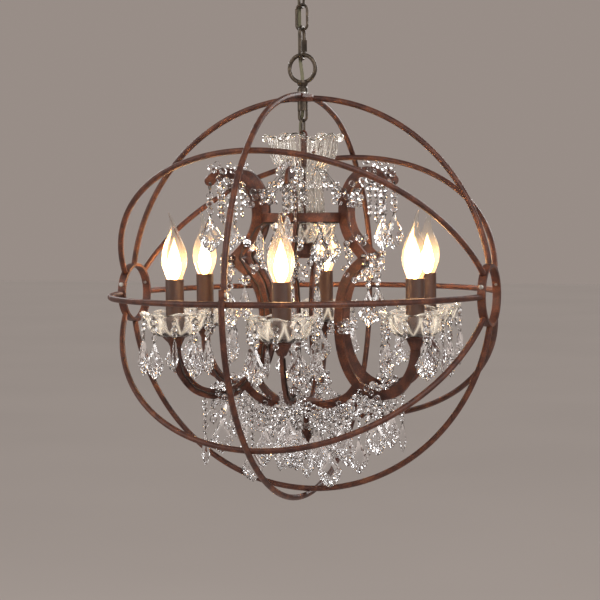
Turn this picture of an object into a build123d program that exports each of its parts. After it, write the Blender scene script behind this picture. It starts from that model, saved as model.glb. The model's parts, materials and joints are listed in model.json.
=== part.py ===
from build123d import *
import os
from math import acos, asin, cos, degrees, hypot, pi, radians, sin, sqrt

# Orb chandelier, in millimetres. Every height below is measured from the centre of the orb.
# At the end all pieces move down by DROP, so that the origin lies in the ceiling plane, at the
# centre of the canopy. +Z is up and the axis through the two hub rings of the orb is X.

DROP = 485.0                # ceiling to the centre of the orb

# --- orb cage ---
R = 275.0                   # centre line of the cage hoops
A_HUB = 268.7               # half length of the hoops' ellipse along the hub axis
B_TOP = 272.0               # the top hoop is drawn down this much where it is bolted
ROD = 4.0                   # radius of the hoop stock
R_CROSS = 283.5             # the cross hoop lies outside the others
CROSS_TOP = 276.0           # height of the cross hoop's centre line where it is bolted
SHOULDER = 55.0             # elevation at which the cross hoop starts to flatten, degrees
SHOULDER_R = 180.0          # bend radius there
CROSS_SIDE = 1.6            # the two cross half-hoops pass each other this far from the middle
LAP_LOW, LAP_HIGH = 6.0, 20.0   # the laps lie just above the equator
HUB_R, HUB_WALL, HUB_W = 42.0, 4.0, 11.0
HUB_X = A_HUB * sqrt(1 - (HUB_R / R) ** 2)
PAD_L, PAD_W, PAD_T = 34.0, 14.0, 5.5
PAD_MID = 273.0             # face where the two bolted pads meet
SCREW_HEAD_R, SCREW_HEAD_T, SCREW_R = 3.3, 2.2, 1.9

# --- suspension ---
CANOPY_R, CANOPY_H, CANOPY_T = 60.0, 25.0, 1.6
BAR_L, BAR_W, BAR_T = 96.0, 20.0, 2.5
BAR_HOLES, BAR_HOLE_R = 70.0, 2.75
TUBE_R, TUBE_BORE = 5.0, 3.4        # threaded tube (nipple) and its bore
CHAIN_WIRE = 1.85                   # wire radius of the two chain links
QUICK_WIRE = 2.4
RING_R, RING_WIRE = 19.0, 2.8       # hanging ring: centre line and wire
LOOP_R, LOOP_WIRE = 10.5, 2.2       # canopy loop
GAP = 0.3                           # air between links that hang on each other
SLEEVE_R, SLEEVE_L = 4.0, 16.0
SLEEVE_BORE = QUICK_WIRE + 0.06     # the sleeve runs on the link's leg
CORD_R = 2.5
CORD_SIDE = 5.7                     # the cord hangs behind the chain, clear of both link planes
CORD_IN = 4.6                       # the same offset inside the crown, beside the rod

# --- inner chandelier ---
ARMS = 6
ARM_START = 42.0            # first arm, degrees from the hub axis
CANDLE_R = 189.0
ARM_W, ARM_T = 14.0, 4.0
CROWN_R, CROWN_WALL, CROWN_LOW, CROWN_HIGH = 64.5, 3.0, 101.0, 113.0
ROD_R = 4.0
DISC_TOP = -52.0            # top of the metal disc under each glass saucer
SLEEVE_TOP = 25.0
CANDLE_TUBE_R = 12.5
BOBECHE_R = 48.0
BULB_R, BULB_TIP = 17.5, 116.0
BEAD, WRAP_R = 4.9, 12.4
KITE_W, KITE_H, KITE_T = 34.0, 50.0, 9.0
NARROW_W = 25.0             # kites under the hub
TIP_EYE = (137.0, 158.0)    # end of the arm's upper scroll
TIP_HOLE_DROP, TIP_HOLE_R = 3.4, 2.0
CUSP = (106.0, 50.0)
ARM_LOW = (124.0, -134.5)
PIN_R, PIN_AT = 0.6, 45.0   # pins that carry the crystals round a saucer

nodes = {}


# ---------------------------------------------------------------- helpers
def tube_along(path, radius):
    """Round stock of one radius along an edge or wire."""
    start = path @ 0
    return sweep(Plane(origin=start, z_dir=path % 0) * Circle(radius), path)


def turned(points):
    """A solid of revolution about Z from a closed outline in (r, z)."""
    outline = Polyline(*[(r, 0, z) for r, z in points], close=True)
    return revolve(make_face(outline), Axis.Z, 360)


def ring(radius, wire, x_dir=(1, 0, 0)):
    """An upright ring in the plane of x_dir and Z."""
    plane = Plane(origin=(0, 0, 0), x_dir=x_dir, z_dir=Vector(*x_dir).cross(Vector(0, 0, 1)))
    return plane * Torus(radius, wire)


def oval_path(top, bottom, half, across=(1, 0, 0)):
    """Closed centre line of a chain link between two heights, half its width to each side."""
    a = Vector(*across) * half
    up = Vector(0, 0, 1)
    hi = up * (top - half)
    lo = up * (bottom + half)
    right = Line(lo + a, hi + a)
    over = ThreePointArc(hi + a, up * top, hi - a)
    left = Line(hi - a, lo - a)
    under = ThreePointArc(lo - a, up * bottom, lo + a)
    return Wire([right, over, left, under])


def oval_link(top, bottom, half, wire, across=(1, 0, 0)):
    return tube_along(oval_path(top, bottom, half, across), wire)


def hung(upper_bottom, upper_wire, wire):
    """Height of the top wire of a link that hangs on a wire."""
    return upper_bottom + upper_wire + wire + GAP


def six(shape):
    """A piece of the first arm, turned to all the arms, as one group of solids."""
    return Compound(children=[s for k in range(ARMS) for s in (arm_at(k) * shape).solids()])


def arm_at(k):
    return Rot(0, 0, ARM_START + 360 / ARMS * k)


def add(name, shape):
    nodes[name] = shape


# ---------------------------------------------------------------- suspension
LINK_LONG = 35.5            # centre line of a chain link from top to bottom
oval_low = 366.0
oval_top = oval_low + LINK_LONG
upper_low = oval_top - 2 * CHAIN_WIRE - GAP
upper_top = upper_low + LINK_LONG
loop_low = upper_top - CHAIN_WIRE - LOOP_WIRE - GAP
LOOP_Z = loop_low + LOOP_R
NIPPLE_LOW = DROP - CANOPY_H - 9.0
quick_top = hung(oval_low, CHAIN_WIRE, QUICK_WIRE)
ring_top = 313.2 + RING_R
quick_low = ring_top - RING_WIRE - QUICK_WIRE - GAP
LINK_HALF, QUICK_HALF = 8.0, 8.2
sleeve_low = quick_low + QUICK_HALF + 2.1


def canopy():
    """Spun steel dish with a hole in the middle for the threaded tube."""
    low = DROP - CANOPY_H
    outer = [(TUBE_R + 0.2, low), (34, low), (50, low + 6), (CANOPY_R, DROP)]
    inner = [(CANOPY_R - CANOPY_T, DROP), (50 - CANOPY_T, low + 6 + CANOPY_T),
             (34 - CANOPY_T, low + CANOPY_T), (TUBE_R + 0.2, low + CANOPY_T)]
    return turned(outer + inner)


def crossbar():
    bar = Pos(0, 0, DROP - BAR_T / 2) * Box(BAR_L, BAR_W, BAR_T)
    for x in (-BAR_HOLES / 2, BAR_HOLES / 2):
        bar -= Pos(x, 0, DROP - BAR_T / 2) * Cylinder(BAR_HOLE_R, 3 * BAR_T)
    return bar - Pos(0, 0, DROP - BAR_T / 2) * Cylinder(TUBE_R, 3 * BAR_T)


def hollow_tube(low, high, radius=TUBE_R, bore=TUBE_BORE):
    middle = Pos(0, 0, (low + high) / 2)
    return middle * Cylinder(radius, high - low) - middle * Cylinder(bore, high - low)


def hex_nut(low, high, across=17.0):
    nut = Pos(0, 0, low) * extrude(RegularPolygon(across / 2, 6, major_radius=False), high - low)
    return nut - Pos(0, 0, low) * Cylinder(TUBE_R, 3 * (high - low))


def canopy_loop():
    """Cast loop whose hollow boss screws on the threaded tube and clamps the canopy."""
    boss_low = LOOP_Z + LOOP_R - 1.0
    boss = turned([(0, boss_low), (6.8, boss_low), (8.8, DROP - CANOPY_H), (0, DROP - CANOPY_H)])
    loop = boss + Pos(0, 0, LOOP_Z) * ring(LOOP_R, LOOP_WIRE)
    loop -= Pos(0, 0, boss_low + 5) * Cylinder(TUBE_BORE, 30)
    return loop - Pos(0, 0, NIPPLE_LOW + 10) * Cylinder(TUBE_R, 20)


def quick_link():
    """Long link with an open leg on the +Y side, closed by a screwed sleeve."""
    link = oval_link(quick_top, quick_low, QUICK_HALF, QUICK_WIRE, (0, 1, 0))
    slot = Pos(0, QUICK_HALF, sleeve_low + 3.7) * Box(12, 12, 4.4)
    return link - slot


def quick_sleeve():
    middle = Pos(0, QUICK_HALF, sleeve_low + SLEEVE_L / 2)
    return middle * extrude(RegularPolygon(SLEEVE_R, 6), SLEEVE_L / 2, both=True) - middle * Cylinder(
        SLEEVE_BORE, SLEEVE_L + 2)


COLLAR_LOW = PAD_MID + PAD_T + 2.0      # stands on the washer
COLLAR_TOP = 297.0


def hanging_ring():
    """Ring cast on a flared, hollow collar."""
    profile = [(0, COLLAR_LOW), (7.3, COLLAR_LOW), (7.3, COLLAR_LOW + 5), (5.9, COLLAR_LOW + 8),
               (8.1, COLLAR_LOW + 13), (7.2, COLLAR_TOP), (0, COLLAR_TOP)]
    body = turned(profile) + Pos(0, 0, ring_top - RING_R) * ring(RING_R, RING_WIRE)
    body -= Pos(0, 0, COLLAR_LOW) * Cylinder(TUBE_BORE, 60)
    return body - Pos(0, 0, COLLAR_LOW) * Cylinder(TUBE_R, 14)


STEM_LOW = 256.0
LOWER_LOOP_HALF, LOWER_LOOP_WIRE, LOWER_LOOP_LOW = 5.6, 1.75, 240.6


def lower_loop():
    """Coupling under the hoops that ends in an eye for the inner link."""
    boss = hollow_tube(STEM_LOW - 1.0, PAD_MID - PAD_T, 7.3, TUBE_BORE)
    boss -= Pos(0, 0, (STEM_LOW + PAD_MID) / 2) * Cylinder(TUBE_R, PAD_MID - STEM_LOW)
    leg_top = STEM_LOW
    turn = LOWER_LOOP_LOW + LOWER_LOOP_HALF
    right = Line((LOWER_LOOP_HALF, 0, leg_top), (LOWER_LOOP_HALF, 0, turn))
    under = ThreePointArc((LOWER_LOOP_HALF, 0, turn), (0, 0, LOWER_LOOP_LOW), (-LOWER_LOOP_HALF, 0, turn))
    left = Line((-LOWER_LOOP_HALF, 0, turn), (-LOWER_LOOP_HALF, 0, leg_top))
    eye = tube_along(Wire([right, under, left]), LOWER_LOOP_WIRE)
    return boss + (eye - Pos(0, 0, STEM_LOW + 10) * Cylinder(TUBE_BORE, 30))


def cord_radii(points):
    """0.45 of the shorter run beside each corner, over the tangent of half the turn."""
    radii = []
    for a, b, c in zip(points, points[1:], points[2:]):
        p, q = Vector(*b) - Vector(*a), Vector(*c) - Vector(*b)
        half_turn = radians(p.get_angle(q)) / 2
        radii.append(0.45 * min(p.length, q.length) * cos(half_turn) / sin(half_turn))
    return radii


def supply_cord():
    """From the canopy down behind the chain, through the collar and the vase, into the crown cup."""
    s, n = CORD_SIDE, CORD_IN
    route = [(0, 0, DROP - 1), (0, 0.02, 450), (-0.5 * s, 0.5 * s, 441), (-s, s, 430), (-s, s + 0.05, 402),
             (-s - 0.05, s, 368), (-s, s + 0.05, 341), (-s, s, 330), (-0.6 * s, 0.62 * s, 317),
             (-0.05, 0.1, 303), (0, 0, 288), (0.02, 0, 270), (0, 0.02, 255.5), (-0.45 * s, 0.75 * s, 247.5),
             (-s, s, 238), (-s - 0.2, s, 222), (-s, s + 0.1, 190), (-s + 0.1, s, 150), (-n, n, 118),
             (-n - 0.02, n, 84), (-n, n - 0.02, 58)]
    radii = cord_radii(route)
    print("cord bend radii, mm:", [round(r, 1) for r in radii])
    path = FilletPolyline(*route, radius=radii)
    tube = tube_along(path, CORD_R)
    print("cord length %.1f, volume over section times length %.4f"
          % (path.length, tube.volume / (pi * CORD_R ** 2 * path.length)))
    return tube


# ---------------------------------------------------------------- orb cage
def half_hoop(angle, reach=R):
    """Half-hoop from hub ring to hub ring. Angle 0 points to +Y and 90 to +Z."""
    start = degrees(asin((HUB_R - HUB_WALL) / reach))
    path = EllipticalCenterArc((0, 0), A_HUB, reach, start, arc_size=180 - 2 * start)
    hoop = Rot(angle, 0, 0) * tube_along(path, ROD)
    return hoop - Rot(0, 90, 0) * Cylinder(HUB_R, 4 * R)


def bolt_pad(hoop, along_x, low):
    """Flatten the crown of a hoop to a drilled pad whose underside is at low."""
    size = (PAD_L, PAD_W) if along_x else (PAD_W, PAD_L)
    hoop -= Pos(0, 0, low + PAD_T + 25) * Box(PAD_L, PAD_L, 50)
    hoop -= Pos(0, 0, low - 25) * Box(PAD_L, PAD_L, 50)
    hoop += Pos(0, 0, low + PAD_T / 2) * Box(*size, PAD_T)
    return hoop - Pos(0, 0, low) * Cylinder(TUBE_R, 60)


def cross_upper():
    """Upper cross half-hoop: round at the sides, flatter over the top."""
    p = radians(SHOULDER)
    foot = LAP_HIGH
    edge = Vector(0, R_CROSS * cos(p), R_CROSS * sin(p))
    c2 = edge * (1 - SHOULDER_R / R_CROSS)
    rest = CROSS_TOP - SHOULDER_R
    c3 = (c2.Y ** 2 + c2.Z ** 2 - rest ** 2) / (2 * (c2.Z - rest))
    top_r = CROSS_TOP - c3
    lean = asin(c2.Y / (top_r - SHOULDER_R))
    join = Vector(0, top_r * sin(lean), c3 + top_r * cos(lean))
    mid_turn = (radians(SHOULDER) + pi / 2 - lean) / 2
    bend = c2 + Vector(0, cos(mid_turn), sin(mid_turn)) * SHOULDER_R
    low = asin(foot / R_CROSS)
    half = (low + p) / 2

    def side(v, s):
        return Vector(CROSS_SIDE, s * v.Y, v.Z)

    def at(a):
        return Vector(0, R_CROSS * cos(a), R_CROSS * sin(a))

    top = Vector(0, 0, CROSS_TOP)
    path = Wire([ThreePointArc(side(at(low), 1), side(at(half), 1), side(edge, 1)),
                 ThreePointArc(side(edge, 1), side(bend, 1), side(join, 1)),
                 ThreePointArc(side(join, 1), side(top, 1), side(join, -1)),
                 ThreePointArc(side(join, -1), side(bend, -1), side(edge, -1)),
                 ThreePointArc(side(edge, -1), side(at(half), -1), side(at(low), -1))])
    return bolt_pad(tube_along(path, ROD), False, PAD_MID) + cross_tongues(1)


def cross_lower():
    low = asin(LAP_LOW / R_CROSS)

    def at(a):
        return (-CROSS_SIDE, R_CROSS * cos(a), R_CROSS * sin(a))

    path = ThreePointArc(at(low), at(-pi / 2), at(pi - low))
    return tube_along(path, ROD) + cross_tongues(-1)


def cross_tongues(side):
    """Flat tongues of a cross half-hoop, which lap against those of the other half."""
    tongue_t = 3.6
    height = LAP_HIGH - LAP_LOW
    middle = (LAP_HIGH + LAP_LOW) / 2 + side * 0.6
    pair = []
    for y in (-R_CROSS, R_CROSS):
        tongue = Pos(side * tongue_t / 2, y * 0.9985, middle) * Box(tongue_t, 2 * ROD, height)
        hole = Pos(0, y * 0.9985, (LAP_HIGH + LAP_LOW) / 2) * Rot(0, 90, 0) * Cylinder(SCREW_R, 20)
        pair.append(tongue - hole)
    return pair


def hub_half(side, upper):
    """One half of a hub ring; the halves lap by half their thickness just above the equator."""
    turn = Pos(side * HUB_X, 0, 0) * Rot(0, 90, 0)
    band = turn * (Cylinder(HUB_R, HUB_W) - Cylinder(HUB_R - HUB_WALL, HUB_W))
    outer_skin = turn * (Cylinder(HUB_R, HUB_W) - Cylinder(HUB_R - HUB_WALL / 2, HUB_W))
    inner_skin = band - outer_skin
    lap = Pos(side * HUB_X, 0, (LAP_LOW + LAP_HIGH) / 2) * Box(20, 120, LAP_HIGH - LAP_LOW)
    above = Pos(side * HUB_X, 0, LAP_HIGH + 50) * Box(20, 120, 100)
    below = Pos(side * HUB_X, 0, LAP_LOW - 50) * Box(20, 120, 100)
    half = (band & above) + (outer_skin & lap) if upper else (band & below) + (inner_skin & lap)
    screw_z = (LAP_LOW + LAP_HIGH) / 2
    return half - Pos(side * HUB_X, 0, screw_z) * Rot(90, 0, 0) * Cylinder(SCREW_R, 120)


def pan_screw(length):
    """Screw with its head's underside at the origin and its shank along -Z."""
    dome = fillet(Cylinder(SCREW_HEAD_R, SCREW_HEAD_T).edges().group_by(Axis.Z)[-1], 1.2)
    return Pos(0, 0, SCREW_HEAD_T / 2) * dome + Pos(0, 0, -length / 2) * Cylinder(SCREW_R, length)


def cage_screws():
    z = (LAP_LOW + LAP_HIGH) / 2
    seat = sqrt(HUB_R ** 2 - (z - SCREW_HEAD_R) ** 2)
    screws = []
    for x in (-HUB_X, HUB_X):
        for s in (-1, 1):
            spot = Pos(x, s * seat, z) * Rot(-90 * s, 0, 0)
            screws.append(spot * pan_screw(7.5))
    for y in (-R_CROSS, R_CROSS):
        screws.append(Pos(3.6, y * 0.9985, z) * Rot(0, 90, 0) * pan_screw(7.6))
    return Compound(children=[s for screw in screws for s in screw.solids()])


# ---------------------------------------------------------------- inner frame
LINK_LOW = 223.5
inner_top = hung(LOWER_LOOP_LOW, LOWER_LOOP_WIRE, 1.5)
EYE_WIRE, EYE_R = 1.5, 5.2
eye_top = hung(LINK_LOW, 1.5, EYE_WIRE)
CUP_LOW, CUP_TOP = 50.0, 71.0


def centre_rod():
    eye = Pos(0, 0, eye_top - EYE_R) * ring(EYE_R, EYE_WIRE)
    top = eye_top - 2 * EYE_R
    rod = Pos(0, 0, (top + CUP_LOW + 3) / 2) * Cylinder(ROD_R - 0.8, top - CUP_LOW - 3)
    return eye + rod


def crown_ring():
    """Band that the six arms are welded to, with spokes and a hub on the rod."""
    band = turned([(CROWN_R - CROWN_WALL, CROWN_LOW), (CROWN_R, CROWN_LOW),
                   (CROWN_R, CROWN_HIGH), (CROWN_R - CROWN_WALL, CROWN_HIGH)])
    hub = Pos(0, 0, CROWN_LOW + 2) * Cylinder(15, 4)
    crown = band + hub
    for k in range(ARMS):
        spoke = Pos((CROWN_R - 1) / 2, 0, CROWN_LOW + 2) * Box(CROWN_R - 1 - CROWN_WALL + 1.5, 8, 4)
        crown += arm_at(k) * spoke
    crown -= Pos(0, 0, CROWN_LOW) * Cylinder(ROD_R - 0.8, 30)
    return crown - Pos(-CORD_IN, CORD_IN, CROWN_LOW) * Cylinder(CORD_R + 0.3, 30)


VASE_LOW = CROWN_LOW + 4.0


def flower_vase():
    """Trumpet vase of clear glass that stands on the spokes."""
    outer = [(26.5, VASE_LOW), (25.2, 135), (23.5, 160), (24.5, 172), (29, 187), (36, 203), (45, 216), (50, 219)]
    inner = [(50.5, 222), (44, 221), (32.5, 205.5), (25.8, 189), (21.2, 173), (20.2, 160), (22, 135),
             (23, VASE_LOW)]
    return turned(outer + inner)


DISH_TOP, DISH_LOW = 98.2, CUP_TOP


def crown_dish():
    return turned([(11, DISH_LOW), (24, DISH_LOW), (37, 78), (47, DISH_TOP), (44, DISH_TOP),
                   (34.5, 81), (23, 74), (11, 74)])


def crown_cup():
    """Hollow cup below the dish that closes the wiring space."""
    return turned([(0, CUP_LOW), (7.5, CUP_LOW), (11.2, CUP_LOW + 6), (11.2, CUP_TOP - 2), (18, CUP_TOP - 2),
                   (18, CUP_TOP), (9.7, CUP_TOP), (9.7, CUP_LOW + 6.5), (6.8, CUP_LOW + 3), (0, CUP_LOW + 3)])


HUB_LOW, HUB_TOP, BOTTOM_HUB_R = -166.0, -148.0, 24.0


def bottom_hub():
    return turned([(0, HUB_LOW), (16, HUB_LOW), (BOTTOM_HUB_R, HUB_LOW + 5), (BOTTOM_HUB_R, HUB_TOP - 1),
                   (BOTTOM_HUB_R - 2, HUB_TOP), (0, HUB_TOP)])


def bottom_finial():
    """Stem under the hub with the small cup that carries the lower dish."""
    return turned([(0, HUB_LOW), (4, HUB_LOW), (4, -190), (8.7, -190.5), (8.7, -194), (5.8, -207), (3, -210),
                   (0, -210)])


def bottom_dish():
    return turned([(4.0, -190), (10, -190), (15.5, -186), (18, -179.5), (16, -179), (13.7, -184.2), (9.5, -187.6),
                   (4.0, -187.6)])


UPPER_SCROLL = [TIP_EYE, (124, 166.5), (106, 167.5), (88, 158.5), (75, 141), (69.5, 118), (71.5, 96),
                (81, 77), (95, 61), CUSP]
LOWER_SCROLL = [CUSP, (90, 38), (77, 25), (68, 9), (62.5, -10), (60, -31), (60, -52), (63.5, -75),
                (72, -98), (85.5, -117), (103.5, -130), ARM_LOW, (144, -132.5), (160, -126), (173, -113.5),
                (183, -97), (188, -80), (CANDLE_R, -64)]
NOSE = [(100, 50), (110.7, 54.9), (115.2, 49.7), (110.0, 44.5)]    # point of the cusp
BRACE = [(90, -122), (77, -137), (62, -147.5), (44, -154), (20, -157)]


def strip(points, width):
    """Flat face of one width along a smooth line in (r, z), drawn on the plane y = 0."""
    line = Spline(*[(r, 0, z) for r, z in points])
    count = 3 * len(points)
    sides = [[], []]
    for i in range(count + 1):
        spot, way = line @ (i / count), line % (i / count)
        across = Vector(way.Z, 0, -way.X) * (width / 2)
        sides[0].append(spot + across)
        sides[1].append(spot - across)
    one, two = Spline(*sides[0]), Spline(*sides[1])
    ends = [Line(one @ 0, two @ 0), Line(one @ 1, two @ 1)]
    return make_face([one, ends[1], two, ends[0]])


def plate(points, width=ARM_W):
    return extrude(strip(points, width), ARM_T / 2, both=True)


def arm():
    """One flat arm, cut from plate: two scrolls, a brace and an eye at the scroll's tip."""
    tip = Pos(TIP_EYE[0], 0, TIP_EYE[1]) * Rot(90, 0, 0)
    body = plate(UPPER_SCROLL) + plate(LOWER_SCROLL) + plate(BRACE, 10) + tip * Cylinder(ARM_W / 2, ARM_T)
    body += extrude(make_face(Polyline(*[(r, 0, z) for r, z in NOSE], close=True)), ARM_T / 2, both=True)
    body -= Pos(TIP_EYE[0], 0, TIP_EYE[1] - TIP_HOLE_DROP) * Rot(90, 0, 0) * Cylinder(TIP_HOLE_R, 20)
    body -= Pos(0, 0, (CROWN_LOW + CROWN_HIGH) / 2) * Cylinder(CROWN_R, CROWN_HIGH - CROWN_LOW)
    body -= Pos(0, 0, -157) * Cylinder(BOTTOM_HUB_R, 40)
    return body - Pos(CANDLE_R, 0, 0) * cup_outline()


# ---------------------------------------------------------------- candles
def cup_outline():
    low = DISC_TOP - 18.5
    return turned([(0, low), (5.5, low), (7.2, low + 3), (13, DISC_TOP - 3), (16.5, DISC_TOP - 1.4),
                   (16.5, DISC_TOP), (0, DISC_TOP)])


HOLDER_STEM = 4.6


def candle_cup():
    return cup_outline() - Pos(0, 0, DISC_TOP) * Cylinder(HOLDER_STEM, 23)


def bobeche():
    """Glass saucer with five drilled holes near its rim."""
    z = DISC_TOP
    glass = turned([(HOLDER_STEM, z), (24, z), (34, z + 7), (42, z + 18), (BOBECHE_R, z + 29),
                    (BOBECHE_R - 3, z + 30.5), (39.3, z + 20.5), (31.8, z + 10), (23, z + 3.6),
                    (HOLDER_STEM, z + 3.6)])
    for a in pin_angles():
        glass -= Pos(PIN_AT * cos(a), PIN_AT * sin(a), z + 26) * Cylinder(PIN_R + 0.4, 30)
    return glass


def pin_angles():
    return [radians(36 + 72 * k) for k in range(5)]


def lampholder():
    """Socket with its threaded stem, hidden in the sleeve."""
    seat = DISC_TOP + 3.6
    holder = Pos(0, 0, (seat + 21) / 2) * Cylinder(10, 21 - seat)
    holder -= Pos(0, 0, 11) * Cylinder(7.3, 22)
    return holder + Pos(0, 0, seat - 7.5) * Cylinder(HOLDER_STEM, 15)


def candle_sleeve():
    low = DISC_TOP + 3.6
    return hollow_tube(low, SLEEVE_TOP, CANDLE_TUBE_R, CANDLE_TUBE_R - 1.2)


def bulb():
    """Bent-tip candle bulb with its screw cap."""
    glass = turned([(0, 22), (9.2, 22.5), (11, 27), (15.2, 38), (BULB_R, 51), (16.6, 62), (13.4, 73),
                    (9, 83), (5.6, 91), (0, 91)])
    cap = Pos(0, 0, 11.2) * Cylinder(6.9, 22)
    tail = loft([Pos(0, 0, 90) * Circle(5.9), Pos(0.8, 0, 100) * Circle(3.0), Pos(3.4, 0, 109) * Circle(1.9),
                 Pos(6.6, 0, BULB_TIP) * Circle(1.0)])
    return glass + cap + tail


# ---------------------------------------------------------------- crystals
def faceted(rims):
    """Solid with plane faces between a row of outlines that have parallel edges."""
    faces = [make_face(Polyline(*rim, close=True)) for rim in (rims[0], rims[-1])]
    for low, high in zip(rims, rims[1:]):
        for i, j in zip(range(len(low)), [*range(1, len(low)), 0]):
            faces.append(make_face(Polyline(low[i], low[j], high[j], high[i], close=True)))
    return Solid(Shell(faces))


def cut_stone(outline, middle, half_thick, table):
    """Flat cut stone in the XZ plane: full outline at mid thickness, smaller by table at both faces."""
    small = [(x * table, middle + (z - middle) * table) for x, z in outline]
    layers = [(small, -half_thick), (outline, 0), (small, half_thick)]
    return faceted([[Vector(x, y, z) for x, z in rim] for rim, y in layers])


def kite(width=KITE_W, height=KITE_H):
    """Kite-shaped cut pendant with a stepped lower edge; its top is at the origin."""
    half = [(1.8, 0), (width / 2, -0.62 * height), (0.40 * width, -0.73 * height),
            (0.36 * width, -0.75 * height), (0.22 * width, -0.87 * height), (0.18 * width, -0.89 * height),
            (0.4, -height)]
    outline = half + [(-x, z) for x, z in reversed(half)]
    return cut_stone(outline, -0.55 * height, KITE_T / 2, 0.62)


def round_bead(radius=6.0):
    """Flat faceted bead between two crystals."""
    corners = [(radius * sin(pi * k / 4), radius * cos(pi * k / 4)) for k in range(8)]
    return cut_stone(corners, 0, 2.6, 0.78)


def drop(pin, beads=1, height=KITE_H, width=KITE_W):
    """A pendant below the origin: a pin of the given length, flat beads and a kite."""
    parts = Pos(0, 0, -pin / 2) * Cylinder(PIN_R, pin)
    z = -pin
    for _ in range(beads):
        parts += Pos(0, 0, z - 5.2) * round_bead()
        z -= 10.4
    parts += Pos(0, 0, z + 1.0) * kite(width, height)
    return parts


def octagon(spot, way, radius):
    """Flat eight-sided bead at spot, on a string that runs along way."""
    side = Vector(way.Y, -way.X, 0) if hypot(way.X, way.Y) > 0.1 else Vector(0, 1, 0)
    corners = [(radius * sin(pi * k / 4), radius * cos(pi * k / 4)) for k in range(8)]
    return Plane(origin=spot, x_dir=side.cross(way), z_dir=way) * cut_stone(corners, 0, 2.0, 0.74)


def bead_line(points, radius=3.6):
    """A string of flat beads with short pieces of wire between them."""
    spots = [Vector(*p) for p in points]
    parts = [octagon(p, q - p, radius) for p, q in zip(spots, spots[1:])]
    parts.append(octagon(spots[-1], spots[-1] - spots[-2], radius))
    for p, q in zip(spots, spots[1:]):
        way = q - p
        foot = p + way.normalized() * (radius - 0.9)
        parts.append(Plane(origin=foot, z_dir=way) * extrude(Rectangle(1.1, 1.1), way.length - 2 * radius + 1.8))
    return parts[0].fuse(*parts[1:])


def bead_wrap(centre, tilt):
    """Ring of beads tied round the arm; tilt turns it square to the arm."""
    angles = [2 * pi * (k + 0.5) / 8 for k in range(8)]
    balls = [Pos(0, WRAP_R * cos(a), WRAP_R * sin(a)) * Sphere(BEAD) for a in angles]
    return Pos(centre[0], 0, centre[1]) * Rot(0, tilt, 0) * balls[0].fuse(*balls[1:])


def bobeche_pendants(glass):
    hang = DISC_TOP + 29.5
    pendants = []
    for a in pin_angles():
        spot = Pos(PIN_AT * cos(a), PIN_AT * sin(a), hang) * Rot(0, 0, degrees(a) + 90)
        pendants.append(spot * (Sphere(1.7) + drop(7.0, 3)) - glass)
    return pendants


def swag_points(start, end, sag):
    """Points about 8 apart along a hanging curve, with one in its middle."""
    a, b = Vector(*start), Vector(*end)
    count = 2 * max(2, round(((b - a).length + 1.4 * sag) / 16.0))
    return [a + (b - a) * (i / count) - Vector(0, 0, 4 * sag * (i / count) * (1 - i / count))
            for i in range(count + 1)]


def polar(r, angle, z):
    a = radians(angle)
    return (r * cos(a), r * sin(a), z)


def crown_swags():
    """Two strings from the vase's neck to each scroll, one on each side of the arm."""
    swags = []
    for s in (-1, 1):
        start, end = polar(30.5, 12 * s, 172), polar(96, 8 * s, 152)
        swags.append(bead_line(swag_points(start, end, 20)))
    return swags


def scroll_pendant():
    """Free pendant: a wire ring through the scroll's eye, three beads and a kite."""
    hole = TIP_EYE[1] - TIP_HOLE_DROP
    hook_r = 4.3
    hook = Pos(0, 0, -hook_r) * ring(hook_r, 0.8, (0, 1, 0))
    rest = Pos(0, 0, -2 * hook_r) * drop(4.8, beads=3)
    return Pos(TIP_EYE[0], 0, hole) * (hook + rest)


def bead_chain(count, radius=3.4):
    """Small flat beads straight down from the origin, about 8 apart."""
    return bead_line([(0, 0, -8.0 * i) for i in range(count)], radius)


def chain_drop(count, height=KITE_H, width=KITE_W, turn=0.0):
    """Small beads from the origin down, with a kite below them."""
    kite_at = Pos(0, 0, -8.0 * (count - 1)) * Rot(0, 0, turn)
    return bead_chain(count) + kite_at * drop(6.0, 0, height, width)


def pinned(r, z, hanging, pin=4.0):
    """Hang something from a short pin whose top is at radius r and level z."""
    return Pos(r, 0, z) * (Pos(0, 0, -pin / 2) * Cylinder(PIN_R, pin) + Pos(0, 0, -pin) * hanging)


GARLAND_R, GARLAND_Z, GARLAND_SAG = 100.0, -132.5, 24.0
GARLAND_SIDE = degrees(asin(5.65 / GARLAND_R))      # the end beads touch the arms' faces
LONG_GARLANDS = (1, 4)      # the kites of these hang out between the hoops
LONG_BRACES = (0, 3)


def garland(beads):
    """String of beads from an arm to the next, with a kite below its middle."""
    start = polar(GARLAND_R, GARLAND_SIDE, GARLAND_Z)
    end = polar(GARLAND_R, 60 - GARLAND_SIDE, GARLAND_Z)
    middle = Pos(*polar(GARLAND_R * cos(radians(30 - GARLAND_SIDE)), 30, GARLAND_Z - GARLAND_SAG))
    below = Pos(0, 0, -8.0) * chain_drop(beads, turn=90) + Pos(0, 0, -4) * Box(1.1, 1.1, 4)
    return bead_line(swag_points(start, end, GARLAND_SAG)) + middle * Rot(0, 0, 30) * below


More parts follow.
